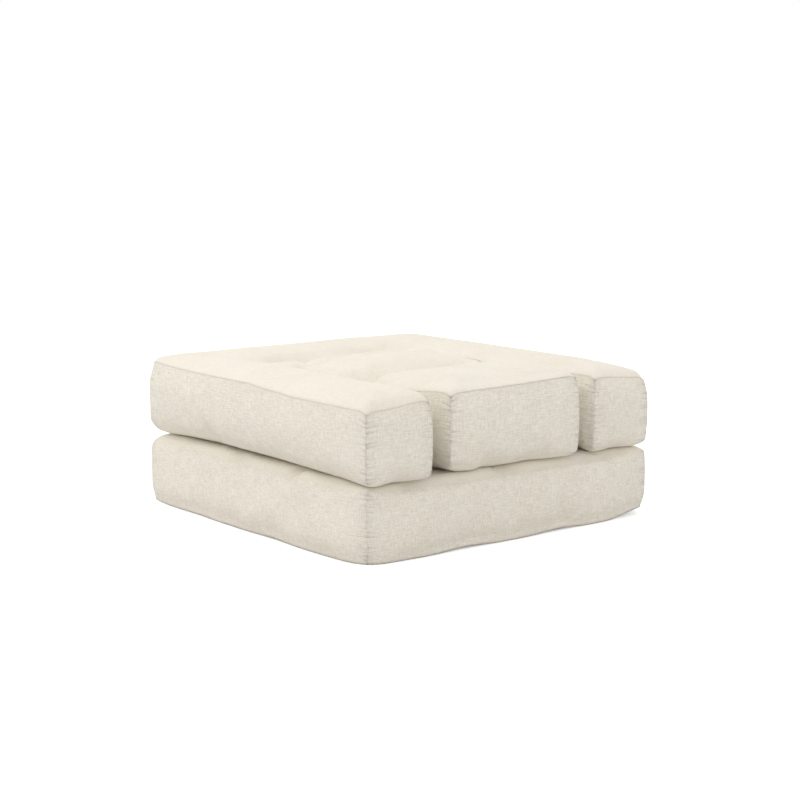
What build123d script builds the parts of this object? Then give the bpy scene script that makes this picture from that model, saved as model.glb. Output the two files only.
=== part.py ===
from build123d import *
import math
import os
from dataclasses import dataclass

# Ottoman chair bed: one long mattress folded in half, with the upper half cut by two slits.
# The origin is at the middle of the footprint on the floor, X to the right, Y to the back, Z up.
# The slit side faces the front, and the two halves meet on their sleeping faces.

# Driving sizes of the folded bed
bed_width = 900.0
folded_depth = 950.0
half_thickness = 180.0
slit_length = 590.0
slit_width = 52.0
arm_width = 190.0

# Tufts, measured from the middle line and from the front
tuft_column = 155.0
front_tuft_row = 360.0
rear_tuft_row = 713.0

# Running clearances
layer_gap = 0.3
fold_gap = 0.4
seat_gap = 0.4

# Shape that every cushion shares
roll_radius = 38.0
corner_inset = 9.0
side_bulge = 5.0
side_draw = 8.0
tuft_reach = 130.0
end_reach = 150.0
station_pitch = 80.0
roll_steps = 2

# Outer face of the upper half, above its seam
seam_rise = 12.0
crown_rise = 18.0
tuft_dip = 18.0
crease_dip = 3.0
crease_reach = 70.0
end_crown_share = 0.35
tuft_crown_share = 0.6
valley_share = 0.45
shoulder_share = 0.22
shoulder_drop_share = 0.12
arm_end_rise = 6.0
flap_end_rise = 20.0

# Sewn layers, from the outside in
cover_wall = 2.5
core_side_margin = 46.0
core_face_margin = 34.0

# Tufting twine and its dimples
twine_diameter = 3.0
twine_clearance = 0.5
knot_diameter = 11.0
knot_height = 4.0
knot_clearance = 0.5
dimple_radius = 36.0
dimple_floor = 7.0
dimple_depth = 8.0
outer_dimple_radius = 36.0
outer_dimple_depth = 22.0
dimple_folds = 8
knot_sides = 8
twine_sides = 6

# Fold seams
welt_diameter = 3.6
fin_thickness = 1.6
fin_margin_share = 0.34
strip_thickness = 1.2
strip_clearance = 0.8
strip_bite = 0.8
strip_side_margin = 60.0
overrun = 5.0

# Places worked out from the driving sizes
half_width = bed_width / 2
front = -folded_depth / 2
rear = folded_depth / 2
slit_end = front + slit_length
front_row = front + front_tuft_row
rear_row = front + rear_tuft_row
arm_inner = half_width - arm_width
flap_half_width = arm_inner - slit_width
upper_level = half_thickness + layer_gap / 2
base_level = half_thickness - layer_gap / 2
flap_fold_z = upper_level + half_thickness + seam_rise + crown_rise + welt_diameter / 4
bed_fold_y = rear - welt_diameter / 2
block_rear = bed_fold_y - layer_gap / 2


@dataclass
class Block:
    """One stuffed section of the mattress, with its free ends and its tufts."""

    left: float
    right: float
    front: float
    rear: float
    front_free: bool
    rear_free: bool
    columns: list
    rows: list
    tufts: list
    end_rise: float
    upper: bool


columns = [-tuft_column, tuft_column]
flap_rear = slit_end - fold_gap / 2
blocks = {
    "base": Block(-half_width, half_width, front, block_rear, True, True, columns,
                  [front_row, rear_row], [(x, y) for x in columns for y in (front_row, rear_row)], 0, False),
    "rear": Block(-half_width, half_width, slit_end + fold_gap / 2, block_rear, False, True,
                  columns, [rear_row], [(x, rear_row) for x in columns], seam_rise, True),
    "centre_flap": Block(-flap_half_width, flap_half_width, front, flap_rear, True, False, [],
                         [front_row], [(x, front_row) for x in columns], flap_end_rise, True),
    "left_arm": Block(-half_width, -arm_inner, front, flap_rear, True, False, [], [front_row], [],
                      arm_end_rise, True),
    "right_arm": Block(arm_inner, half_width, front, flap_rear, True, False, [], [front_row], [],
                       arm_end_rise, True),
}


def bump(distance, reach):
    """A soft bump: one at no distance, nothing from the reach on."""
    return (1 + math.cos(math.pi * min(abs(distance) / reach, 1))) / 2


def to_z(block, height):
    """Height from the sleeping face as Z: the upper half stands on it, the base hangs from it."""
    return upper_level + height if block.upper else base_level - height


def outer_height(block):
    """Height of the seam round the outer face, where nothing lifts it."""
    return half_thickness if block.upper else base_level


def stations(block, inset):
    """Places along the depth, each with the share of the end roll that is still to go there."""
    start, end = block.front + inset, block.rear - inset
    roll = roll_radius - inset
    turns = [math.radians(90 * step / roll_steps) for step in range(roll_steps + 1)]
    near = [(start + roll * (1 - math.cos(turn)), 1 - math.sin(turn)) for turn in turns]
    far = [(end - roll * (1 - math.cos(turn)), 1 - math.sin(turn)) for turn in reversed(turns)]
    near = near if block.front_free else [(start, 0)]
    far = far if block.rear_free else [(end, 0)]
    span = far[0][0] - near[-1][0]
    count = round(span / station_pitch)
    between = [(near[-1][0] + span * step / count, 0) for step in range(1, count)]
    return near + between + far


def section(block, y, roll_left, inset):
    """The cushion cut across: rolled sleeping edges, bulged sides and a crowned outer face."""
    pull = max([bump(y - row, tuft_reach) for row in block.rows])
    end = bump(y - front, end_reach) if block.front_free else 0
    end = max(end, bump(y - block_rear, end_reach) if block.rear_free else 0)
    crease = bump(y - slit_end, crease_reach)

    draw = side_draw * pull + corner_inset * roll_left + side_bulge
    left, right = block.left + draw + inset, block.right - draw - inset
    roll = roll_radius - inset
    cut = roll * (1 - math.sqrt(1 / 2))
    low = roll_radius * roll_left + inset
    high = outer_height(block) - inset + (seam_rise * (1 - end) + block.end_rise * end if block.upper else 0)
    middle = (low + roll + high) / 2

    crown = crown_rise * (1 - end_crown_share * end) * (1 - (1 - tuft_crown_share) * pull)
    peak = high + crown - crease_dip * crease
    valley = high + (peak - high) * valley_share * (1 - pull) - tuft_dip * pull
    top = [(left, high)] + [(x, valley) for x in block.columns] + [(right, high)]

    crest = []
    for (x1, h1), (x2, h2) in zip(top, top[1:]):
        shoulder = shoulder_share * (x2 - x1)
        crest += [(x1, h1), (x1 + shoulder, peak - (peak - h1) * shoulder_drop_share),
                  (x2 - shoulder, peak - (peak - h2) * shoulder_drop_share)]
    crest = crest + [top[-1]] if block.upper else [top[0], top[-1]]

    outline = [(left + roll, low), (right - roll, low), (right - cut, low + cut), (right, low + roll),
               (right + side_bulge, middle), *reversed(crest),
               (left - side_bulge, middle), (left, low + roll), (left + cut, low + cut)]
    with BuildSketch(Plane(origin=(0, y, 0), x_dir=(1, 0, 0), z_dir=(0, -1, 0))) as sketch:
        with BuildLine():
            Polyline(*[(x, to_z(block, height)) for x, height in outline], close=True)
        make_face()
    return sketch.sketch.face()


def stuffed_form(block, inset):
    """The whole cushion as one solid, drawn in by an inset, with a dimple at each end of each tuft."""
    faces = [section(block, y, roll_left, inset) for y, roll_left in stations(block, inset)]
    up = 1 if block.upper else -1
    slope = (dimple_radius - dimple_floor) / dimple_depth
    outer_slope = (outer_dimple_radius - dimple_floor) / outer_dimple_depth
    outer_reach = seam_rise + crown_rise + tuft_dip + overrun
    with BuildPart() as form:
        loft(faces, ruled=True)
        for x, y in block.tufts:
            for start, way, height, flare in (
                (dimple_depth + inset, -up, dimple_depth + inset, slope),
                (outer_height(block) - tuft_dip - inset, up, outer_reach, outer_slope),
            ):
                with BuildSketch(Plane(origin=(x, y, to_z(block, start)), z_dir=(0, 0, way))):
                    RegularPolygon(dimple_floor, dimple_folds)
                extrude(amount=height, taper=-math.degrees(math.atan(flare)), mode=Mode.SUBTRACT)
    return form.part


def tuft_holes(block):
    """Channels for the twine, right through the cushion."""
    with BuildPart() as holes:
        with BuildSketch(Plane.XY.offset(to_z(block, half_thickness / 2))):
            with Locations(block.tufts):
                RegularPolygon(twine_diameter / 2 + twine_clearance, twine_sides)
        extrude(amount=half_thickness / 2 + overrun, both=True)
    return holes.part


def core_box(block, grow):
    """The foam block at the heart of a cushion, or the pocket for it when grown a little."""
    width = block.right - block.left - 2 * core_side_margin + 2 * grow
    depth = block.rear - block.front - 2 * core_side_margin + 2 * grow
    height = half_thickness - 2 * core_face_margin + 2 * grow
    with BuildPart() as box:
        with Locations(((block.left + block.right) / 2, (block.front + block.rear) / 2,
                        to_z(block, half_thickness / 2))):
            Box(width, depth, height)
    return box.part


def write(part, name):
    """Gives a finished piece its name and writes it."""
    part.label = name
    export_step(part, f"parts/{name}.step")
    print(name, len(part.solids()), round(part.volume / 1000), "cm3")


os.makedirs("parts", exist_ok=True)

# Covers, felt layers and foam cores, one set for each section of the mattress
for name, block in blocks.items():
    outer = stuffed_form(block, 0)
    holes = tuft_holes(block) if block.tufts else None

    with BuildPart() as cover:
        add(outer)
        add(stuffed_form(block, cover_wall), mode=Mode.SUBTRACT)
        if block.tufts:
            add(holes, mode=Mode.SUBTRACT)
    write(cover.part, f"{name}_cover")

    with BuildPart() as felt:
        add(stuffed_form(block, cover_wall + seat_gap))
        add(core_box(block, seat_gap), mode=Mode.SUBTRACT)
        if block.tufts:
            add(holes, mode=Mode.SUBTRACT)
    middle_plane = Plane.XY.offset(to_z(block, half_thickness / 2))
    for side, keep, place in (("upper", Keep.TOP, 1), ("lower", Keep.BOTTOM, -1)):
        with BuildPart() as layer:
            add(felt.part)
            split(bisect_by=middle_plane.offset(place * seat_gap / 2), keep=keep)
        write(layer.part, f"{name}_{side}_felt")

    with BuildPart() as core:
        add(core_box(block, 0))
        if block.tufts:
            add(holes, mode=Mode.SUBTRACT)
    write(core.part, f"{name}_foam_core")

# Tufts: doubled twine through the cushion, knotted in a dimple on each face
for name, block in blocks.items():
    if not block.tufts:
        continue
    sleeping_knot = dimple_depth - knot_clearance
    outer_knot = outer_height(block) - tuft_dip + knot_clearance
    up = 1 if block.upper else -1
    with BuildPart() as tufts:
        for height, way in ((sleeping_knot, -up), (outer_knot, up)):
            with BuildSketch(Plane.XY.offset(to_z(block, height))):
                with Locations(block.tufts):
                    RegularPolygon(knot_diameter / 2, knot_sides)
            extrude(amount=way * knot_height)
        with BuildSketch(Plane.XY.offset(to_z(block, sleeping_knot))):
            with Locations(block.tufts):
                RegularPolygon(twine_diameter / 2, twine_sides)
        extrude(amount=up * (outer_knot - sleeping_knot))
    write(tufts.part, f"{name}_tufts")

# Fold seams of the flaps: the covers sewn to each other in a raised rolled seam along each fold
for name in ("centre_flap", "left_arm", "right_arm"):
    block = blocks[name]
    fin_margin = fin_margin_share * (block.right - block.left)
    fin_left, fin_right = block.left + fin_margin, block.right - fin_margin
    with BuildPart() as seam:
        with BuildSketch(Plane.XY.offset(upper_level + half_thickness / 2)):
            with Locations(((fin_left + fin_right) / 2, slit_end + (fold_gap + fin_thickness) / 2)):
                Rectangle(fin_right - fin_left, fin_thickness)
        extrude(amount=flap_fold_z - upper_level - half_thickness / 2)
        add(stuffed_form(blocks["rear"], 0), mode=Mode.SUBTRACT)
        with BuildSketch(Plane(origin=(fin_left, slit_end, flap_fold_z), x_dir=(0, 1, 0), z_dir=(1, 0, 0))):
            Circle(welt_diameter / 2)
        extrude(amount=fin_right - fin_left)
    write(seam.part, f"{name}_fold_seam")

# Bed fold: a strip sewn along the sleeping edge of each half, with the rolled seam on the fold line
strip_half = half_width - strip_side_margin
fold_plane = Plane(origin=(-strip_half, 0, 0), x_dir=(0, 1, 0), z_dir=(1, 0, 0))
roll_centre_y = block_rear - roll_radius
full_turn_steps = 4 * roll_steps
for name, side, strip_end in (
    ("base", -1, bed_fold_y - welt_diameter / 2 + strip_bite),
    ("rear", 1, bed_fold_y - welt_diameter / 2 - strip_clearance),
):
    level = to_z(blocks[name], 0)
    inner_face = half_thickness + side * layer_gap
    with BuildPart() as strip:
        with BuildSketch(fold_plane):
            with Locations(((roll_centre_y + strip_end) / 2, inner_face + side * strip_thickness / 2)):
                Rectangle(strip_end - roll_centre_y, strip_thickness)
            with Locations((roll_centre_y, level + side * roll_radius)):
                RegularPolygon(roll_radius + seat_gap, full_turn_steps, mode=Mode.SUBTRACT)
            if name == "base":
                with Locations((bed_fold_y, half_thickness)):
                    Circle(welt_diameter / 2)
        extrude(amount=2 * strip_half)
    write(strip.part, f"{name}_fold_strip")
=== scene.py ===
import math

import bmesh
import bpy
import numpy as np
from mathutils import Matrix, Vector


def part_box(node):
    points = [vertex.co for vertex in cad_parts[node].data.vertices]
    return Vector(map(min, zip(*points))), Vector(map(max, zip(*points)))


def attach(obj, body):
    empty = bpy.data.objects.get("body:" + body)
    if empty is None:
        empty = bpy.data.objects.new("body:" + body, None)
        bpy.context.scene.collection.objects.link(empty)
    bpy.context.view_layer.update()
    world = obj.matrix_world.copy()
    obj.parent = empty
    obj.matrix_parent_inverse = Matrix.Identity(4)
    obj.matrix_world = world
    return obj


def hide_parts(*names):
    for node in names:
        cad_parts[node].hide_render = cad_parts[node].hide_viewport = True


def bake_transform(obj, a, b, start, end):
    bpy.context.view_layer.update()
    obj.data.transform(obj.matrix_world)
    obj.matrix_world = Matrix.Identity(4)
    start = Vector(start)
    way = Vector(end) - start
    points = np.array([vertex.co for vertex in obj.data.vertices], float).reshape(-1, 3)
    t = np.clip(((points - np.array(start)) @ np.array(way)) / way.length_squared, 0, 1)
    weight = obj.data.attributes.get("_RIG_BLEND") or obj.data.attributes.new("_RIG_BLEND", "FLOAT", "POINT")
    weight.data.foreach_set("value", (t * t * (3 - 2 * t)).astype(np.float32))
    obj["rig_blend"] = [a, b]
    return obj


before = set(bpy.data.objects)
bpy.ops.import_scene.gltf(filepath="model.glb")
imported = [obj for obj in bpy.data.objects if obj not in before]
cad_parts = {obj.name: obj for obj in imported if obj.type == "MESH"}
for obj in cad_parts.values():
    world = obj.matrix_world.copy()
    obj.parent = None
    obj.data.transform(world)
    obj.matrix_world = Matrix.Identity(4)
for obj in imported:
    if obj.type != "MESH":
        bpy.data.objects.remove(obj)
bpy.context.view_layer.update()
scene = bpy.context.scene
bpy.ops.object.select_all(action="DESELECT")

# The photograph's view: from the front left and a little above, with a long lens.
PHOTO_SIZE = 800
LENS_PIXELS = 1775.5
VIEW_YAW = math.radians(38.534)
VIEW_PITCH = math.radians(9.036)
VIEW_PLACE = (-2.8502, -3.6122, 1.0168)
camera_data = bpy.data.cameras.new("photo_camera")
camera_data.sensor_width = 36
camera_data.lens = camera_data.sensor_width * LENS_PIXELS / PHOTO_SIZE
camera = bpy.data.objects.new("photo_camera", camera_data)
camera.location = VIEW_PLACE
camera.rotation_euler = (math.pi / 2 - VIEW_PITCH, 0, -VIEW_YAW)
scene.collection.objects.link(camera)
scene.camera = camera


class Wire:
    """A socket of a finish. Expressions on wires and numbers add their Math nodes."""

    def __init__(self, finish, socket):
        self.finish = finish
        self.socket = socket

    def maths(self, operation, first, second=0.0):
        return self.finish.node("ShaderNodeMath", {"operation": operation}, {0: first, 1: second})

    def __add__(self, other):
        return self.maths("ADD", self, other)

    def __sub__(self, other):
        return self.maths("SUBTRACT", self, other)

    def __rsub__(self, other):
        return self.maths("SUBTRACT", other, self)

    def __mul__(self, other):
        return self.maths("MULTIPLY", self, other)

    def fade(self, reach):
        """One at no distance, falling away over the reach."""
        return self.maths("EXPONENT", self * (-1 / reach))

    def sine(self):
        return self.maths("SINE", self)

    __radd__ = __add__
    __rmul__ = __mul__


class Finish:
    """A material in the making: its node method adds any node and gives back one socket as a wire."""

    def __init__(self, name):
        self.material = bpy.data.materials.new(name)
        self.material.use_nodes = True
        self.tree = self.material.node_tree
        self.surface = self.tree.nodes["Principled BSDF"]

    def node(self, kind, settings, inputs, out=0):
        made = self.tree.nodes.new(kind)
        for name, value in settings.items():
            if name == "stops":
                ramp = made.color_ramp
                for element, (place, colour) in zip(ramp.elements, value):
                    element.position = place
                    element.color = colour
            else:
                setattr(made, name, value)
        self.feed(made, inputs)
        return Wire(self, made.outputs[out])

    def feed(self, made, inputs):
        for name, value in inputs.items():
            if isinstance(value, Wire):
                self.tree.links.new(value.socket, made.inputs[name])
            else:
                made.inputs[name].default_value = value


# The cover cloth: a plain weave of undyed linen and cotton, with thick and thin yarns both ways. Its seams
# sit in a fine groove, with the cloth puckered across them. The finish follows each piece's weave map, in
# metres along the cloth, and its seams map, with the distances to the panel seam and to the corner seam.
YARN = 0.0011
WARP_SLUBS = (330, 40, 1)
WEFT_SLUBS = (36, 330, 1)
FINE_WARP_SLUBS = (1000, 130, 1)
FINE_WEFT_SLUBS = (130, 1000, 1)
LINEN_PALE = (0.945, 0.888, 0.785, 1)
LINEN_DARK = (0.745, 0.690, 0.590, 1)
SEAM_SHADE = (0.52, 0.465, 0.38, 1)
PANEL_GROOVE = 0.0011
CORNER_GROOVE = 0.0012
PANEL_NOTCH = 0.009
CORNER_NOTCH = 0.007
GATHER_REACH = 0.024
PUCKER_REACH = 0.008
PUCKER_TURNS = 420
linen = Finish("linen")
weave = linen.node("ShaderNodeUVMap", {"uv_map": "weave"}, {})
across = linen.node("ShaderNodeSeparateXYZ", {}, {"Vector": weave})
along = Wire(linen, across.socket.node.outputs["Y"])
seam_map = linen.node("ShaderNodeUVMap", {"uv_map": "seams"}, {})
panel_seam = linen.node("ShaderNodeSeparateXYZ", {}, {"Vector": seam_map})
corner_seam = Wire(linen, panel_seam.socket.node.outputs["Y"])


def cloth_noise(stretch, detail, roughness=0.5, distortion=0.0):
    """A noise over the weave map. Its stretch counts waves per metre across and along the cloth."""
    placed = linen.node("ShaderNodeMapping", {}, {"Vector": weave, "Scale": stretch})
    return linen.node("ShaderNodeTexNoise", {"noise_dimensions": "2D"},
                      {"Vector": placed, "Scale": 1.0, "Detail": detail, "Roughness": roughness,
                       "Distortion": distortion}, out="Fac")


# Thick and thin places in the yarns, stronger on the borders, where the cloth is seen face on.
warp = cloth_noise(WARP_SLUBS, 3, roughness=0.65)
weft = cloth_noise(WEFT_SLUBS, 3, roughness=0.65)
fine_warp = cloth_noise(FINE_WARP_SLUBS, 2, roughness=0.65)
fine_weft = cloth_noise(FINE_WEFT_SLUBS, 2, roughness=0.65)
broad = cloth_noise((9, 9, 1), 3, roughness=0.55)
border = corner_seam.maths("LESS_THAN", corner_seam, 0.8)
coarse = (warp + weft - 1.0) * (border * 0.7 + 0.3)
fine = (fine_warp + fine_weft - 1.0) * (border * 0.5 + 0.5)
tone = coarse * 0.95 + fine * 0.7 + broad * 0.2 + 0.4
cloth = linen.node("ShaderNodeValToRGB", {"stops": [(0.2, LINEN_DARK), (0.8, LINEN_PALE)]}, {"Fac": tone})

# The seams: a fine groove, with painted shade along it, and darker painted shade in the notch where the panel
# seam meets a corner.
sewn = panel_seam.maths("MAXIMUM", panel_seam.fade(PANEL_GROOVE), corner_seam.fade(CORNER_GROOVE) * 0.12)
notch = panel_seam.fade(PANEL_NOTCH) * corner_seam.fade(CORNER_NOTCH) * 0.9
# Painted shade: SEAM_SHADE darkens the cloth along the seam groove and in the pinched notch at each corner.
cloth = linen.node("ShaderNodeMix", {"data_type": "RGBA"},
                   {"Factor": sewn * 0.5 + notch, "A": cloth, "B": SEAM_SHADE}, out="Result")

# The relief, in metres: yarns, gathers at the corner seams, puckers at the panel seam, folds and rumples.
yarn = (across * (2 * math.pi / YARN)).sine() * (along * (2 * math.pi / YARN)).sine()
gathers = cloth_noise((12, 125, 1), 2, distortion=0.5) * corner_seam.fade(GATHER_REACH) * 0.0110
wander = cloth_noise((40, 40, 1), 2)
puckers = (across * PUCKER_TURNS + along * PUCKER_TURNS + wander * 8).sine()
puckers = puckers * panel_seam.fade(PUCKER_REACH) * 0.0003
folds = cloth_noise((30, 5, 1), 1, distortion=0.4) * border * 0.0060
rumple = cloth_noise((24, 24, 1), 4, distortion=0.7) * 0.0026
height = yarn * 0.00012 + coarse * 0.0014 + fine * 0.0005 + rumple + folds + gathers + puckers - sewn * 0.0012
relief = linen.node("ShaderNodeBump", {}, {"Height": height, "Distance": 1.0, "Strength": 1.0}, out="Normal")
linen.feed(linen.surface, {"Base Color": cloth, "Roughness": 0.88, "Normal": relief,
                           "Specular IOR Level": 0.25, "Sheen Weight": 0.12, "Sheen Roughness": 0.5})

# Lower half of the mattress: a boxed cushion of linen, filled with cotton felt round a foam core. It lies
# outer side down, so its sewn edge is at the floor, and the rolled edge of the sleeping side is on top.
BASE_LOW, BASE_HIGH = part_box("base_cover")
HALF_WIDTH = BASE_HIGH[0]
FRONT, REAR = BASE_LOW[1], BASE_HIGH[1]
THICK = BASE_HIGH[2] - BASE_LOW[2]
CELL = 0.0125
BORDER_ROWS = 15
TUFT_X = 0.155
FRONT_ROW = FRONT + 0.360
REAR_ROW = FRONT + 0.713
TUFTS = [(x, y) for x in (-TUFT_X, TUFT_X) for y in (FRONT_ROW, REAR_ROW)]
ROLL = 0.036
ROLL_AT_CORNER = 0.50
ROLL_AT_BACK_CORNER = 0.65
SIDE_DRAW = 0.0025
DRAW_REACH = 0.14
BACK_SHARE = 0.25
SLEEPING_DIMPLE = 0.010
SLEEPING_REACH = 0.08
STIFF_PANEL_SEAM = 0.018
STIFF_CORNER_SEAM = 0.022
FILLING_PRESSURE = 4
CLOTH_SURPLUS = 0.008
PUFF_CAP = 0.014


def grid_lines(stops):
    """Grid lines through the given stops, about one cell apart between them."""
    lines = [stops[0]]
    for start, end in zip(stops, stops[1:]):
        count = max(1, round((end - start) / CELL))
        lines += [start + (end - start) * step / count for step in range(1, count + 1)]
    return lines


def run_of(a, b, outline):
    """The straight run of the outline that holds the two points: its level axis and its ends."""
    for start, end in zip(outline, outline[1:] + outline[:1]):
        level = 0 if abs(start[0] - end[0]) < 1e-9 else 1
        low, high = sorted((start[1 - level], end[1 - level]))
        on_line = all(abs(point[level] - start[level]) < 1e-6 for point in (a, b))
        if on_line and all(low - 1e-6 <= point[1 - level] <= high + 1e-6 for point in (a, b)):
            return level, low, high


def nearest_edge(x, y, outline):
    """Distance to an outline of (x, y) corners, listed with the cushion on their left, and the way out."""
    best = np.full(x.shape, 9.0)
    out = np.zeros(x.shape + (2,))
    for (ax, ay), (bx, by) in zip(outline, outline[1:] + outline[:1]):
        length = math.hypot(bx - ax, by - ay)
        dx, dy = (bx - ax) / length, (by - ay) / length
        along = np.clip((x - ax) * dx + (y - ay) * dy, 0, length)
        gap = np.hypot(x - ax - along * dx, y - ay - along * dy)
        tie = np.abs(gap - best) < 1e-7
        out[(gap < best) & ~tie] = (dy, -dx)
        out[tie] += (dy, -dx)
        best = np.minimum(best, gap)
    return best, out / np.maximum(np.abs(out).max(axis=1), 1e-9)[:, None]


def sewn_box(name, xs, ys, filled, outline):
    """The flat-cut cover on a grid: outer panel, sleeping panel and the border sewn between them. Each vertex
    stands at (x, y, t), where t is 0 on the sleeping panel and 1 on the outer one. The weave map holds metres
    along the cloth, the seams map the distance to the panel seam and to the nearest corner seam."""
    shell = bmesh.new()
    weave = shell.loops.layers.uv.new("weave")
    seams = shell.loops.layers.uv.new("seams")
    at = {}

    def corner(i, j, k):
        if (i, j, k) not in at:
            at[i, j, k] = shell.verts.new((xs[i], ys[j], k / BORDER_ROWS))
        return at[i, j, k]

    def inside(i, j):
        return (0 <= i < len(xs) - 1 and 0 <= j < len(ys) - 1
                and filled((xs[i] + xs[i + 1]) / 2, (ys[j] + ys[j + 1]) / 2))

    places = [(i, j) for i in range(len(xs)) for j in range(len(ys))]
    grid_x, grid_y = np.array([(xs[i], ys[j]) for i, j in places]).T
    gaps = nearest_edge(grid_x, grid_y, outline)[0]
    edge_gap = dict(zip(places, gaps))
    for i in range(len(xs) - 1):
        for j in range(len(ys) - 1):
            if not inside(i, j):
                continue
            ring = [(i, j), (i + 1, j), (i + 1, j + 1), (i, j + 1)]
            for k, order in ((BORDER_ROWS, ring), (0, ring[::-1])):
                face = shell.faces.new([corner(*place, k) for place in order])
                for loop, place in zip(face.loops, order):
                    loop[weave].uv = (xs[place[0]], ys[place[1]])
                    loop[seams].uv = (edge_gap[place] if k else 1, 1)
            for side, (di, dj) in enumerate(((0, -1), (1, 0), (0, 1), (-1, 0))):
                if inside(i + di, j + dj):
                    continue
                a, b = ring[side], ring[(side + 1) % 4]
                level, low, high = run_of((xs[a[0]], ys[a[1]]), (xs[b[0]], ys[b[1]]), outline)
                for k in range(BORDER_ROWS):
                    order = ((a, k), (b, k), (b, k + 1), (a, k + 1))
                    face = shell.faces.new([corner(*place, row) for place, row in order])
                    for loop, (place, row) in zip(face.loops, order):
                        run = (xs[place[0]], ys[place[1]])[1 - level]
                        loop[weave].uv = (run, row * THICK / BORDER_ROWS)
                        loop[seams].uv = (THICK - row * THICK / BORDER_ROWS, min(run - low, high - run))
    crease = shell.edges.layers.float.new("crease_edge")
    for edge in shell.edges:
        a, b = edge.verts
        upright = a.co.z != b.co.z and any(math.hypot(a.co.x - cx, a.co.y - cy) < 1e-5 for cx, cy in outline)
        panels = {face.verts[0].co.z == face.verts[2].co.z for face in edge.link_faces}
        rim = a.co.z == b.co.z == 1 and len(panels) == 2
        edge[crease] = 0.8 if upright else 0.7 if rim else 0
    mesh = bpy.data.meshes.new(name)
    shell.to_mesh(mesh)
    shell.free()
    piece = bpy.data.objects.new(name, mesh)
    scene.collection.objects.link(piece)
    return piece


def points_of(piece):
    """The piece's vertices as an array."""
    flat = np.empty(len(piece.data.vertices) * 3)
    piece.data.vertices.foreach_get("co", flat)
    return flat.reshape(-1, 3)


def set_points(piece, points):
    """Moves the piece's vertices to the array's places."""
    piece.data.vertices.foreach_set("co", np.ascontiguousarray(points).ravel())
    piece.data.update()


def bump(distance, reach):
    """A soft bump: one in the middle, nothing from the reach on."""
    return (1 + np.cos(np.pi * np.clip(np.abs(distance) / reach, 0, 1))) / 2


def ease(value, start, end):
    """From nothing at the start to one at the end, smoothly."""
    share = np.clip((value - start) / (end - start), 0, 1)
    return share * share * (3 - 2 * share)


def to_corner(x, y, outline):
    """Distance to the nearest corner of the outline."""
    return np.min([np.hypot(x - cx, y - cy) for cx, cy in outline], axis=0)


def form_sides(flat, outline, belly, tuck, bow):
    """Rolls the edge of the sleeping side and rounds the border between its seams, which tucks in at the
    outer panel and bows out along each side, less at the back, where the halves meet as a bed. Heights count
    in metres from the sleeping face; the outer panel stays flat, for its own form."""
    x, y, t = flat.T
    gap, out = nearest_edge(x, y, outline)
    near = to_corner(x, y, outline)
    roll = ROLL * (ROLL_AT_CORNER + (1 - ROLL_AT_CORNER) * ease(near, 0.02, 0.16)
                   + ROLL_AT_BACK_CORNER * bump(near, 0.20) * (y > 0.3))
    height = t * THICK
    share = np.where(t > 0, 1 + np.clip(height / roll, 0, 1), 1 - np.clip(gap / roll, 0, 1)) / 2
    turn = share * np.pi / 2
    rolled = (gap < roll) & (height < roll)
    offset = np.where(rolled, roll * np.sin(turn) - (roll - gap), 0)
    height = np.where(rolled, roll * (1 - np.cos(turn)), height)
    stuffed = belly * np.sin(np.pi * np.clip(t, 0, 1)) ** 0.7 * (0.40 + 0.60 * ease(near, 0, 0.10))
    tucked = tuck * ease(t, 0.80, 1.0)
    at_rows = sum(bump(y - row, DRAW_REACH) for row in (FRONT_ROW, REAR_ROW))
    at_columns = sum(bump(x - column, DRAW_REACH) for column in (-TUFT_X, TUFT_X))
    draw = SIDE_DRAW * (at_rows * (np.abs(out[:, 0]) > 0.5) + at_columns * (np.abs(out[:, 1]) > 0.5))
    on_outside = np.maximum(np.abs(x) / HALF_WIDTH, np.abs(y) / -FRONT) > 0.95
    bowed = bow * (1 - bump(near, 0.22)) * on_outside
    meeting = np.where(y > REAR - 1e-6, BACK_SHARE, 1)
    offset = offset + ((stuffed + bowed) * meeting - tucked - draw) * (gap < 1e-6)
    return np.column_stack([x + out[:, 0] * offset, y + out[:, 1] * offset, height]), gap, out


def round_corner(points, t, way, radius, share, low):
    """Rounds an upright corner of the cushion in plan, fully at its outer panel and by a low share below."""
    place = np.array(way) * (HALF_WIDTH + 0.004, REAR + 0.004)
    u = np.clip(1 - (place - points[:, :2]) * way / radius, 0, None)
    far = (u > 0).all(axis=1)
    inner = u[far]
    rounded = inner * (inner.max(axis=1) / np.hypot(*inner.T))[:, None]
    strength = share * (low + (1 - low) * ease(t[far], 0.72, 1.0))
    points[far, :2] += (strength * radius)[:, None] * (rounded - inner) * way


def tuft_pull(x, y, reach):
    """How much the tufts pull the face in at each point."""
    return np.max([bump(np.hypot(x - tx, y - ty), reach) for tx, ty in TUFTS], axis=0)


def spread(piece, values, rounds):
    """Evens values out over the mesh, so that only their broad course is left."""
    ends = np.empty(len(piece.data.edges) * 2, dtype=np.int32)
    piece.data.edges.foreach_get("vertices", ends)
    a, b = ends.reshape(-1, 2).T
    count = np.bincount(ends, minlength=len(values)).astype(float)[:, None]
    for _ in range(rounds):
        total = [np.bincount(a, column[b], len(column)) + np.bincount(b, column[a], len(column))
                 for column in values.T]
        values = (values + np.transpose(total) / count) / 2
    return values


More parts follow.
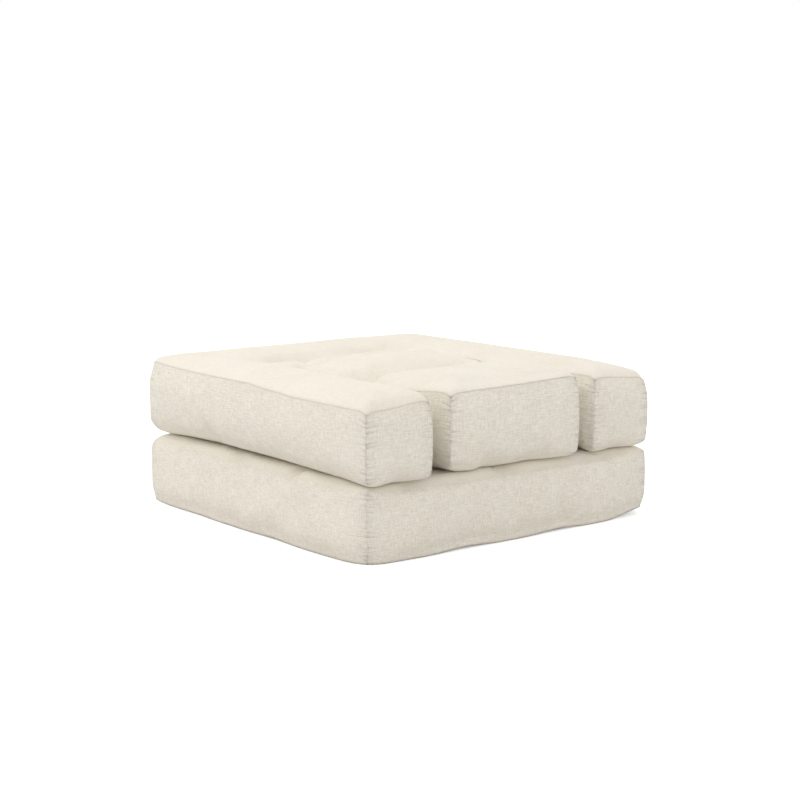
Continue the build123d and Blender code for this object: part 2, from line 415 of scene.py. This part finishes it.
def puff(piece, pins, stiff, swell, frames=20):
    """Fills the cover as cloth under pressure, held at its tufts and by its stiff seams. What the whole face
    swells by is cut to a share, and each point stays within a cap of its start."""
    start = points_of(piece)
    group = piece.vertex_groups.new(name="held")
    group.add([int(index) for index in pins], 1.0, "REPLACE")
    cloth = piece.modifiers.new("cloth", "CLOTH")
    cloth.settings.quality = 6
    cloth.settings.mass = 0.3
    cloth.settings.tension_stiffness = 20
    cloth.settings.compression_stiffness = 20
    cloth.settings.shear_stiffness = 8
    cloth.settings.bending_stiffness = 0.4
    cloth.settings.shrink_min = -CLOTH_SURPLUS
    cloth.settings.use_pressure = True
    cloth.settings.uniform_pressure_force = FILLING_PRESSURE
    cloth.settings.vertex_group_mass = "held"
    cloth.settings.effector_weights.gravity = 0
    cloth.point_cache.frame_start = 1
    cloth.point_cache.frame_end = frames
    for step in range(1, frames + 1):
        scene.frame_set(step)
    shaped = piece.evaluated_get(bpy.context.evaluated_depsgraph_get()).to_mesh()
    end = np.empty(len(shaped.vertices) * 3)
    shaped.vertices.foreach_get("co", end)
    piece.modifiers.remove(cloth)
    piece.vertex_groups.remove(group)
    scene.frame_set(1)
    moved = end.reshape(-1, 3) - start
    broad = spread(piece, moved, 60)
    moved = (spread(piece, moved, 2) - (1 - swell) * broad) * (1 - stiff)[:, None]
    far = np.linalg.norm(moved, axis=1)
    set_points(piece, start + moved * (PUFF_CAP / np.maximum(far, PUFF_CAP))[:, None])


def seam_hold(flat, gap, outline):
    """How firmly the seams hold the cover: along the outer panel's edge and up the corners."""
    x, y, t = flat.T
    panel = np.where(t == 1, gap, np.where(t > 0, (1 - t) * THICK, 1))
    corner = np.where(t > 0, to_corner(x, y, outline), 1)
    return np.maximum(np.exp(-(panel / STIFF_PANEL_SEAM) ** 1.5),
                      np.exp(-(corner / STIFF_CORNER_SEAM) ** 1.5))


def held_points(flat):
    """The vertices at the tufts, on both faces."""
    x, y, t = flat.T
    return [np.argmin(np.hypot(x - tuft_x, y - tuft_y) + np.abs(t - face))
            for tuft_x, tuft_y in TUFTS for face in (0, 1)]


def finer(piece):
    """One level of subdivision, kept."""
    step = piece.modifiers.new("finer", "SUBSURF")
    step.levels = step.render_levels = 1
    step.uv_smooth = "NONE"
    bpy.ops.object.select_all(action="DESELECT")
    bpy.context.view_layer.objects.active = piece
    piece.select_set(True)
    bpy.ops.object.modifier_apply(modifier=step.name)
    piece.select_set(False)
    piece.data.shade_smooth()


BELLY_BELOW = 0.004
BELLY_BELOW_LEFT = 0.012
EDGE_KINK = 0.004
CORNER_LIFT = 0.016
CORNER_SPREAD = (0.014, 0.013)
BASE_CORNERS = (((-1, -1), 0.060, 0.9), ((1, -1), 0.045, 0.5), ((-1, 1), 0.050, 0.5), ((1, 1), 0.045, 0.6))
base_outline = [(-HALF_WIDTH, FRONT), (HALF_WIDTH, FRONT), (HALF_WIDTH, REAR), (-HALF_WIDTH, REAR)]
base_cushion = sewn_box("base_cushion", grid_lines([-HALF_WIDTH, -TUFT_X, TUFT_X, HALF_WIDTH]),
                        grid_lines([FRONT, FRONT_ROW, REAR_ROW, REAR]), lambda x, y: True, base_outline)
flat = points_of(base_cushion)
x, y, t = flat.T
shaped, gap, out = form_sides(flat, base_outline, belly=0.008, tuck=0.005, bow=0.009)
shaped[:, 2] += np.where(t == 0, SLEEPING_DIMPLE * tuft_pull(x, y, SLEEPING_REACH), 0)

# The edge at the floor rises a little in line with the tufts, and at the right front corner.
kinks = (0.4 * sum(bump(y - row, 0.12) for row in (FRONT_ROW, REAR_ROW)) * (np.abs(x) > HALF_WIDTH - 0.14)
         + sum(bump(x - column, 0.12) for column in (-TUFT_X, TUFT_X)) * (np.abs(y) > REAR - 0.14))
from_right_front = np.hypot(x - HALF_WIDTH, y - FRONT)
rise = EDGE_KINK * kinks + CORNER_LIFT * bump(from_right_front, 0.15)
shaped[:, 2] -= bump(gap, 0.10) * ease(t, 0.0, 1.0) * rise

# The weight of the upper half presses the border out, low down and most on the left.
belly = np.where(x < -0.44, BELLY_BELOW_LEFT, BELLY_BELOW) * bump(t - 0.80, 0.50) * (gap < 1e-6)
shaped[:, :2] += out * (belly * ease(to_corner(x, y, base_outline), 0.0, 0.1))[:, None]
for way, radius, share in BASE_CORNERS:
    round_corner(shaped, t, way, radius, share, 0.8)
shaped[:, 0] += CORNER_SPREAD[0] * bump(from_right_front, 0.25)
shaped[:, 1] += CORNER_SPREAD[1] * bump(np.hypot(x + HALF_WIDTH, y - REAR), 0.25)
set_points(base_cushion, shaped)
stiff = np.maximum(seam_hold(flat, gap, base_outline), 0.6 * ((t > 0) & (t < 1)))
puff(base_cushion, held_points(flat), stiff, swell=0.1)

# It was shaped with its sleeping face at the bottom, so it is turned over to lie on its outer panel.
points = points_of(base_cushion)
points[:, 2] = np.maximum(THICK - points[:, 2], 0)
points[:, 2] = np.where(t == 0, np.minimum(points[:, 2], THICK), points[:, 2])
set_points(base_cushion, points)
base_cushion.data.flip_normals()
finer(base_cushion)
base_cushion.data.materials.append(linen.material)
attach(base_cushion, "base")
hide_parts("base_cover", "base_upper_felt", "base_lower_felt")

# Tufts of the lower half: doubled cotton twine, drawn right through the cushion and tied off on each face
# with a square knot and two cut ends. Each pulls a dimple into the face.
TWINE = 0.0028
KNOT_RADIUS = 1.5 * TWINE
TAIL_LENGTH = 6 * TWINE
TWINE_SHADED = (0.56, 0.50, 0.40, 1)
TWINE_PALE = (0.80, 0.75, 0.64, 1)
twine_finish = Finish("twine")
round_it = twine_finish.node("ShaderNodeTexCoord", {}, {}, out="Object")
lay = twine_finish.node("ShaderNodeMapping", {}, {"Vector": round_it, "Rotation": (0.6, 0.5, 0.0)})
strand = twine_finish.node("ShaderNodeTexWave", {"bands_direction": "Z"},
                           {"Vector": lay, "Scale": 260.0, "Distortion": 1.5, "Detail": 2.0,
                            "Detail Scale": 2.0}, out="Fac")
twine_colour = twine_finish.node("ShaderNodeValToRGB", {"stops": [(0.1, TWINE_SHADED), (0.8, TWINE_PALE)]},
                                 {"Fac": strand})
twist = twine_finish.node("ShaderNodeBump", {}, {"Height": strand, "Distance": 0.0006, "Strength": 1.0},
                          out="Normal")
twine_finish.feed(twine_finish.surface, {"Base Color": twine_colour, "Roughness": 0.8, "Normal": twist})


def tied(name, places, cushion):
    """Twine through the cushion at each place, with a knot where it meets each face."""
    parts = []
    bpy.context.view_layer.update()
    for tx, ty in places:
        low = cushion.ray_cast((tx, ty, -1), (0, 0, 1))[1].z + TWINE / 2
        high = cushion.ray_cast((tx, ty, 2), (0, 0, -1))[1].z - TWINE / 2
        for side in (-0.5, 0.5):
            bpy.ops.mesh.primitive_cylinder_add(vertices=10, radius=TWINE / 2, depth=high - low,
                                                location=(tx + side * TWINE, ty, (low + high) / 2))
            parts.append(bpy.context.object)
        for level, way in ((low, -1), (high, 1)):
            for step, lean in ((0, 0.5), (1, -0.5)):
                place = (tx, ty, level + way * TWINE * 0.7 * step)
                bpy.ops.mesh.primitive_torus_add(major_radius=KNOT_RADIUS, minor_radius=TWINE / 2,
                                                 major_segments=20, minor_segments=10, location=place,
                                                 rotation=(lean, 0.4 * lean, 1.6 * step))
                parts.append(bpy.context.object)
            for side in (-1, 1):
                place = (tx + side * 3.4 * TWINE, ty + side * TWINE, level + way * TWINE * 1.4)
                bpy.ops.mesh.primitive_cone_add(vertices=10, radius1=TWINE / 2, radius2=TWINE * 0.62,
                                                depth=TAIL_LENGTH, location=place,
                                                rotation=(0.3 * side, side * way * 1.2, 0.3))
                parts.append(bpy.context.object)
    bpy.ops.object.select_all(action="DESELECT")
    for part in parts:
        part.select_set(True)
    bpy.context.view_layer.objects.active = parts[0]
    bpy.ops.object.join()
    bpy.ops.object.transform_apply(location=True, rotation=True, scale=True)
    bpy.ops.object.shade_smooth_by_angle(angle=math.radians(50))
    piece = bpy.context.object
    piece.name = name
    piece.data.materials.append(twine_finish.material)
    piece.select_set(False)
    return piece


base_twine = tied("base_twine", TUFTS, base_cushion)
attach(base_twine, "base")
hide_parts("base_tufts")

# Upper half of the mattress: the same cushion, outer side up, cut in from the front by two slits into a left
# arm, a centre flap and a right arm, which stay joined to one section along the back. It is shaped as one
# cover and then parted at the fold line, so that each flap can turn at its own fold.
ARM_INNER = -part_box("left_arm_cover")[1][0]
FLAP_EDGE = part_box("centre_flap_cover")[1][0]
SLIT_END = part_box("rear_cover")[0][1]
UPPER_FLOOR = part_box("rear_cover")[0][2]
CORE_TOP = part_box("rear_foam_core")[1][2]
CORE_INSET = 0.03
FELT_OVER_CORE = 0.004
SLIT_MIDDLE = (ARM_INNER + FLAP_EDGE) / 2

# Heights of the top seam along the front, then those of the left side and the drop of the flap's left edge,
# by their distance from the front.
FRONT_SEAM = ((-0.45, 0.358), (-0.262, 0.371), (-0.208, 0.377), (0.208, 0.385), (0.262, 0.374), (0.45, 0.358))
LEFT_SEAM = ((0, 0.358), (0.30, 0.359), (0.416, 0.365), (0.477, 0.371), (0.712, 0.369), (0.795, 0.371),
             (0.95, 0.376))
FLAP_DROP = ((0, 0), (0.06, 0.001), (0.20, 0.016), (0.28, 0.030), (0.36, 0.040), (0.46, 0.032), (0.59, 0.016),
             (0.66, 0))
REAR_SEAM = 0.371
FLAP_SEAM_DELAY = 0.13
CORNER_DROP = 0.006

# The stuffed top: its crown, the valleys that run between the tufts, and the tufts with their wrinkles.
CROWN = 0.390
FLAP_RISE = 0.006
REAR_LEFT_RISE = 0.004
CROWN_REACH = 0.050
REAR_VALLEY, REAR_VALLEY_REACH = 0.046, 0.070
FLAP_VALLEY, FLAP_VALLEY_REACH = 0.050, 0.100
FOLD_VALLEY, FOLD_VALLEY_REACH = 0.021, 0.036
COLUMN_VALLEY, COLUMN_VALLEY_REACH = 0.008, 0.060
VALLEY_EDGE = 0.055
TUFT_DIP, TUFT_REACH = 0.027, 0.070
WRINKLE, WRINKLE_REACH, WRINKLE_COUNT = 0.0065, 0.12, 9

# How the soft flaps lie: the slits close towards their ends, the flap leans right, and the corners spread.
SLIT_CLOSING = 0.010
FLAP_LEAN = 0.008
ARM_SPREAD = 0.012
RIGHT_SPREAD = 0.006
UNDER_LIFT = ((0, 0), (0.138, 0), (0.40, 0.012), (0.665, 0.022), (0.897, 0.010), (0.95, 0.004))
FLAP_CORNER_LIFT = 0.016
UPPER_CORNERS = (((-1, -1), 0.030, 0.5), ((1, -1), 0.020, 0.2), ((-1, 1), 0.040, 0.6), ((1, 1), 0.050, 0.7))
comb = [(-HALF_WIDTH, FRONT), (-ARM_INNER, FRONT), (-ARM_INNER, SLIT_END), (-FLAP_EDGE, SLIT_END),
        (-FLAP_EDGE, FRONT), (FLAP_EDGE, FRONT), (FLAP_EDGE, SLIT_END), (ARM_INNER, SLIT_END),
        (ARM_INNER, FRONT), (HALF_WIDTH, FRONT), (HALF_WIDTH, REAR), (-HALF_WIDTH, REAR)]
upper = sewn_box("upper_cushion",
                 grid_lines([-HALF_WIDTH, -ARM_INNER, -SLIT_MIDDLE, -FLAP_EDGE, -TUFT_X, TUFT_X, FLAP_EDGE,
                             SLIT_MIDDLE, ARM_INNER, HALF_WIDTH]),
                 grid_lines([FRONT, FRONT_ROW, SLIT_END, REAR_ROW, REAR]),
                 lambda x, y: y > SLIT_END or not FLAP_EDGE < abs(x) < ARM_INNER, comb)
flat = points_of(upper)
x, y, t = flat.T
from_front = y - FRONT
shaped, gap, out = form_sides(flat, comb, belly=0.011, tuck=0.003, bow=0.004)
in_flap = np.where(y < SLIT_END + 1e-6, np.abs(x) < SLIT_MIDDLE,
                   1 - ease(np.abs(x), FLAP_EDGE - 0.04, ARM_INNER + 0.02))

front_seam = np.interp(x, *zip(*FRONT_SEAM))
seam = front_seam + (REAR_SEAM - front_seam) * ease(from_front - FLAP_SEAM_DELAY * in_flap, 0.28, 0.48)
seam += (np.interp(from_front, *zip(*LEFT_SEAM)) - seam) * ease(-x, 0.30, 0.43)
seam -= np.interp(from_front, *zip(*FLAP_DROP)) * in_flap * (1 - ease(x, -0.15, 0.10))
seam -= CORNER_DROP * bump(to_corner(x, y, comb), 0.030) * (y < FRONT + 0.05)

from_right_front = np.hypot(x - HALF_WIDTH, y - FRONT)
plump = (1 - (1 - np.clip(gap / CROWN_REACH, 0, 1)) ** 2.6) ** 0.38
plump *= 1 - 0.35 * bump(from_right_front, 0.16)
crown = (CROWN + FLAP_RISE * in_flap * (1 - ease(y, FRONT_ROW - 0.1, SLIT_END))
         + REAR_LEFT_RISE * bump(x + HALF_WIDTH, 0.35) * ease(y, 0, REAR))
between_rows = ease(y, FRONT_ROW, FRONT_ROW + 0.05) * (1 - ease(y, REAR_ROW - 0.05, REAR_ROW))
valley = (REAR_VALLEY * bump(y - REAR_ROW, REAR_VALLEY_REACH) * (1 - ease(np.abs(x), 0.17, 0.30))
          + FLAP_VALLEY * bump(y - FRONT_ROW, FLAP_VALLEY_REACH) * in_flap
          + FOLD_VALLEY * bump(y - SLIT_END, FOLD_VALLEY_REACH) * in_flap
          + COLUMN_VALLEY * bump(np.abs(x) - TUFT_X, COLUMN_VALLEY_REACH) * between_rows)
at_seam = 0.10 + 0.30 * in_flap * (x < 0)
valley *= np.where(gap < VALLEY_EDGE, at_seam + (1 - at_seam) * gap / VALLEY_EDGE, 1)
dips = TUFT_DIP * tuft_pull(x, y, TUFT_REACH)
for index, (tuft_x, tuft_y) in enumerate(TUFTS):
    reach = np.hypot(x - tuft_x, y - tuft_y)
    turn = np.arctan2(y - tuft_y, x - tuft_x)
    ripple = np.cos(WRINKLE_COUNT * turn + 2 * index + 0.8 * np.sin(3 * turn))
    dips += WRINKLE * ripple * bump(reach, WRINKLE_REACH) * ease(reach, 0.008, 0.03)
top = seam - UPPER_FLOOR - valley
shaped[:, 2] *= np.where(t > 0, 1 + (top / THICK - 1) * t, 1)
shaped[:, 2] += np.where(t == 1, (crown - seam) * plump - dips, 0)
shaped[:, 2] += np.where(t == 0, SLEEPING_DIMPLE * tuft_pull(x, y, SLEEPING_REACH), 0)

in_slit = ((y < SLIT_END + 1e-6) & (gap < 1e-6)
           & (np.abs(x) < ARM_INNER + 1e-6) & (np.abs(x) > FLAP_EDGE - 1e-6))
closing = SLIT_CLOSING * (ease(from_front, 0.02, 0.20) * ease(t, 0.0, 0.15)
                          + ease(from_front, 0.08, 0.30) * ease(t, 0.55, 0.95))
shaped[:, :2] += out * (closing * in_slit)[:, None]
shaped[:, 0] += RIGHT_SPREAD * bump(from_right_front, 0.20)
shaped[:, 0] += FLAP_LEAN * in_flap * (1 - ease(y, FRONT + 0.1, SLIT_END))
shaped[:, 0] += (ARM_SPREAD * bump(x - ARM_INNER, 0.12) * (x > SLIT_MIDDLE)
                 * (1 - ease(y, FRONT + 0.05, FRONT + 0.35)))
sides = bump(x + HALF_WIDTH, 0.16) + 0.5 * bump(x - HALF_WIDTH, 0.16)
lift = np.interp(from_front, *zip(*UNDER_LIFT)) * sides
lift += FLAP_CORNER_LIFT * bump(x + FLAP_EDGE, 0.10) * bump(from_front, 0.16) * in_flap
shaped[:, 2] += lift * (1 - t) ** 2
for way, radius, share in UPPER_CORNERS:
    round_corner(shaped, t, way, radius, share, 0)
set_points(upper, shaped)
puff(upper, held_points(flat), seam_hold(flat, gap, comb), swell=0.3)
points = points_of(upper)
points[:, 2] = np.maximum(points[:, 2], 0) + UPPER_FLOOR

# The dimples stop above the foam core, with a thin layer of felt between.
over_core = (t == 1) & (gap > CORE_INSET)
points[:, 2] = np.where(over_core, np.maximum(points[:, 2], CORE_TOP + FELT_OVER_CORE), points[:, 2])
set_points(upper, points)

# The twine goes in while the cover is whole. The flat places stay with the vertices, to part it by.
for name, values in (("cut_x", x), ("cut_y", y)):
    upper.data.attributes.new(name, "FLOAT", "POINT").data.foreach_set("value", values.astype(np.float32))
finer(upper)
normals = np.empty(len(upper.data.vertices) * 3)
upper.data.vertex_normals.foreach_get("vector", normals)
upper.data.attributes.new("facing", "FLOAT_VECTOR", "POINT").data.foreach_set("vector", normals)
for section, body, row in (("rear", "rear_block", REAR_ROW), ("centre_flap", "centre_flap", FRONT_ROW)):
    twine = tied(f"{section}_twine", [place for place in TUFTS if place[1] == row], upper)
    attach(twine, body)
    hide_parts(f"{section}_tufts")
for section, body in (("rear", "rear_block"), ("left_arm", "left_arm"), ("centre_flap", "centre_flap"),
                      ("right_arm", "right_arm")):
    part = bmesh.new()
    part.from_mesh(upper.data)
    end_layer = part.faces.layers.int.new("end_wall")
    cut_x, cut_y = (part.verts.layers.float[name] for name in ("cut_x", "cut_y"))

    def section_of(face):
        """The section that a face of the whole cover belongs to."""
        middle_x = sum(vert[cut_x] for vert in face.verts) / len(face.verts)
        middle_y = sum(vert[cut_y] for vert in face.verts) / len(face.verts)
        if middle_y > SLIT_END - 1e-4:
            return "rear"
        return "centre_flap" if abs(middle_x) < SLIT_MIDDLE else "left_arm" if middle_x < 0 else "right_arm"

    bmesh.ops.delete(part, geom=[face for face in part.faces if section_of(face) != section], context="FACES")
    open_edges = [edge for edge in part.edges if edge.is_boundary]
    ends = bmesh.ops.holes_fill(part, edges=open_edges, sides=0)["faces"]
    ends = bmesh.ops.triangulate(part, faces=ends)["faces"]
    weave_layer, seam_layer = (part.loops.layers.uv[name] for name in ("weave", "seams"))
    for face in ends:
        face[end_layer] = 1
        for loop in face.loops:
            loop[weave_layer].uv = (loop.vert.co.x, loop.vert.co.z)
            loop[seam_layer].uv = (1, 1)
    mesh = bpy.data.meshes.new(f"{section}_cushion")
    part.to_mesh(mesh)
    part.free()
    facing = np.empty(len(mesh.vertices) * 3)
    mesh.attributes["facing"].data.foreach_get("vector", facing)
    loop_normals = facing.reshape(-1, 3)[[loop.vertex_index for loop in mesh.loops]]
    end_normal = (0, -1 if section == "rear" else 1, 0)
    for face, marked in zip(mesh.polygons, mesh.attributes["end_wall"].data):
        if marked.value:
            loop_normals[face.loop_start:face.loop_start + face.loop_total] = end_normal
    mesh.shade_smooth()
    mesh.normals_split_custom_set(loop_normals)
    for name in ("facing", "cut_x", "cut_y", "end_wall"):
        mesh.attributes.remove(mesh.attributes[name])
    cushion = bpy.data.objects.new(f"{section}_cushion", mesh)
    scene.collection.objects.link(cushion)
    mesh.materials.append(linen.material)
    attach(cushion, body)
    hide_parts(f"{section}_cover", f"{section}_upper_felt", f"{section}_lower_felt")

# Fold seams of the upper half: a narrow strip of linen under the crease where each flap meets the rear
# section. It is sewn to both, and is the hinge that the flap turns back on.
HINGE_HALF = 0.012
HINGE_STEPS = (1, 0.66, 0.33, 0.12, 0, -0.12, -0.33, -0.66, -1)
HINGE_BELOW = 0.0016
HINGE_SAG = 0.0012
HINGE_CELL = 0.008
FOLD_HEIGHT = 0.39
CLOTH_WALL = 0.0009


def cloth_strip(name, rows, width_cells):
    """A strip of cloth through rows of (x, y, z) points, with its thickness."""
    strip = bmesh.new()
    weave_layer = strip.loops.layers.uv.new("weave")
    seam_layer = strip.loops.layers.uv.new("seams")
    verts = [[strip.verts.new(point) for point in row] for row in rows]
    for row in range(len(rows) - 1):
        for column in range(width_cells):
            ring = ((0, 0), (0, 1), (1, 1), (1, 0))
            face = strip.faces.new([verts[row + di][column + dj] for di, dj in ring])
            for loop, (di, dj) in zip(face.loops, ring):
                loop[weave_layer].uv = (rows[0][column + dj][0], (row + di) * 0.004)
                loop[seam_layer].uv = (1, 1)
    mesh = bpy.data.meshes.new(name)
    strip.to_mesh(mesh)
    strip.free()
    piece = bpy.data.objects.new(name, mesh)
    scene.collection.objects.link(piece)
    wall = piece.modifiers.new("wall", "SOLIDIFY")
    wall.thickness = CLOTH_WALL
    wall.offset = 0
    bpy.context.view_layer.objects.active = piece
    piece.select_set(True)
    bpy.ops.object.modifier_apply(modifier="wall")
    piece.select_set(False)
    piece.data.shade_smooth()
    piece.data.materials.append(linen.material)
    return piece


for flap, low, high in (("left_arm", -HALF_WIDTH + 0.03, -ARM_INNER - 0.02),
                        ("centre_flap", -FLAP_EDGE + 0.03, FLAP_EDGE - 0.03),
                        ("right_arm", ARM_INNER + 0.02, HALF_WIDTH - 0.03)):
    cells = round((high - low) / HINGE_CELL)
    columns = [low + (high - low) * step / cells for step in range(cells + 1)]
    tops = [upper.ray_cast((cx, SLIT_END, 2), (0, 0, -1))[1].z for cx in columns]
    rows = []
    for share in HINGE_STEPS:
        below = HINGE_BELOW + HINGE_SAG * (1 - abs(share))
        rows.append([(cx, SLIT_END + HINGE_HALF * share, top - below) for cx, top in zip(columns, tops)])
    hinge = cloth_strip(f"{flap}_fold_cloth", rows, cells)
    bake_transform(hinge, "rear_block", flap, start=(0, SLIT_END + HINGE_HALF / 3, FOLD_HEIGHT),
             end=(0, SLIT_END - HINGE_HALF / 3, FOLD_HEIGHT))
    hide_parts(f"{flap}_fold_seam")
bpy.data.objects.remove(upper)

# Fold cloth between the halves: a strip of the cover's linen, sewn along the back edge of both sleeping
# sides. It lies doubled in the notch between them, and opens flat over the join when the bed is made.
STRIP_LOW, STRIP_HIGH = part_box("base_fold_strip")
FOLD_Y, FOLD_Z = STRIP_HIGH[1] - 0.0018, THICK
STRIP_STEP = 0.004
STRIP_CELLS = 90
FROM_FOLD = 0.0011
TURN = 0.0014
BLEND_HALF = 0.0008
profile = [(STRIP_LOW[1] + STRIP_STEP * step, FOLD_Z - FROM_FOLD - 0.0003 * math.sin(step))
           for step in range(9)]
profile += [(FOLD_Y + 0.0006, FOLD_Z - 0.0010), (FOLD_Y + TURN, FOLD_Z)]
profile += [(py, 2 * FOLD_Z - pz) for py, pz in profile[-2::-1]]
width = STRIP_HIGH[0] - STRIP_LOW[0]
columns = [STRIP_LOW[0] + width * step / STRIP_CELLS for step in range(STRIP_CELLS + 1)]
rows = []
for py, pz in profile:
    ripple = 0.0006 * (py > FOLD_Y - 0.02)
    rows.append([(cx, py + ripple * math.sin(31 * cx), pz) for cx in columns])
fold_cloth = cloth_strip("back_fold_cloth", rows, STRIP_CELLS)
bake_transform(fold_cloth, "base", "rear_block", start=(0, FOLD_Y, FOLD_Z - BLEND_HALF),
         end=(0, FOLD_Y, FOLD_Z + BLEND_HALF))
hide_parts("base_fold_strip", "rear_fold_strip")

# Foam cores: a cut block of pale polyurethane foam in each section, inside the felt. It has fine open cells,
# with soft light and dark patches from the cutting.
FOAM_SHADED = (0.66, 0.58, 0.36, 1)
FOAM_PALE = (0.84, 0.78, 0.56, 1)
FOAM_CELLS_PER_METRE = 900
foam = Finish("foam")
in_foam = foam.node("ShaderNodeTexCoord", {}, {}, out="Object")
cells = foam.node("ShaderNodeTexVoronoi", {}, {"Vector": in_foam, "Scale": FOAM_CELLS_PER_METRE},
                  out="Distance")
cloud = foam.node("ShaderNodeTexNoise", {}, {"Vector": in_foam, "Scale": 30.0, "Detail": 4.0}, out="Fac")
foam_colour = foam.node("ShaderNodeValToRGB", {"stops": [(0.2, FOAM_SHADED), (0.9, FOAM_PALE)]},
                        {"Fac": cells * 0.6 + cloud * 0.6})
pitted = foam.node("ShaderNodeBump", {}, {"Height": cells, "Distance": 0.0005, "Strength": 1.0}, out="Normal")
foam.feed(foam.surface, {"Base Color": foam_colour, "Roughness": 0.95, "Normal": pitted,
                         "Specular IOR Level": 0.2})
for section in ("base", "rear", "centre_flap", "left_arm", "right_arm"):
    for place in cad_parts[f"{section}_foam_core"].material_slots:
        place.material = foam.material

# Studio: a plain white floor and background, a soft lamp above on the left and an even white sky. The floor
# adds the paper's glow for the camera alone, so it is white up to the shadow of the mattress.
FLOOR_SIZE = 40
PAPER = (0.80, 0.80, 0.80, 1)
PAPER_GLOW = 0.40
SKY_LEVEL = 1.04
KEY_PLACE = (-1.95, 0.9, 3.2)
KEY_AIM = (0, 0, 0.2)
KEY_SIZE = 1.6
KEY_ENERGY = 21
WHITE = (1, 1, 1, 1)
bpy.ops.mesh.primitive_plane_add(size=FLOOR_SIZE, location=(0, 0, 0))
floor = bpy.context.object
floor.name = "floor"
paper = Finish("paper")
seen = paper.node("ShaderNodeLightPath", {}, {}, out="Is Camera Ray")
paper.feed(paper.surface, {"Base Color": PAPER, "Roughness": 1.0, "Specular IOR Level": 0.0,
                           "Emission Color": WHITE, "Emission Strength": seen * PAPER_GLOW})
floor.data.materials.append(paper.material)
world = bpy.data.worlds.new("studio")
scene.world = world
world.use_nodes = True
sky = world.node_tree.nodes["Background"]
sky.inputs["Color"].default_value = WHITE
ray = world.node_tree.nodes.new("ShaderNodeLightPath")
level = world.node_tree.nodes.new("ShaderNodeMapRange")
level.inputs["To Min"].default_value = SKY_LEVEL
level.inputs["To Max"].default_value = 1.0
world.node_tree.links.new(ray.outputs["Is Camera Ray"], level.inputs["Value"])
world.node_tree.links.new(level.outputs["Result"], sky.inputs["Strength"])
bpy.ops.object.light_add(type="AREA", location=KEY_PLACE)
key = bpy.context.object
key.name = "key_light"
key.data.size = KEY_SIZE
key.data.energy = KEY_ENERGY
key.rotation_euler = (Vector(KEY_AIM) - key.location).to_track_quat("-Z", "Y").to_euler()
scene.view_settings.view_transform = "Standard"
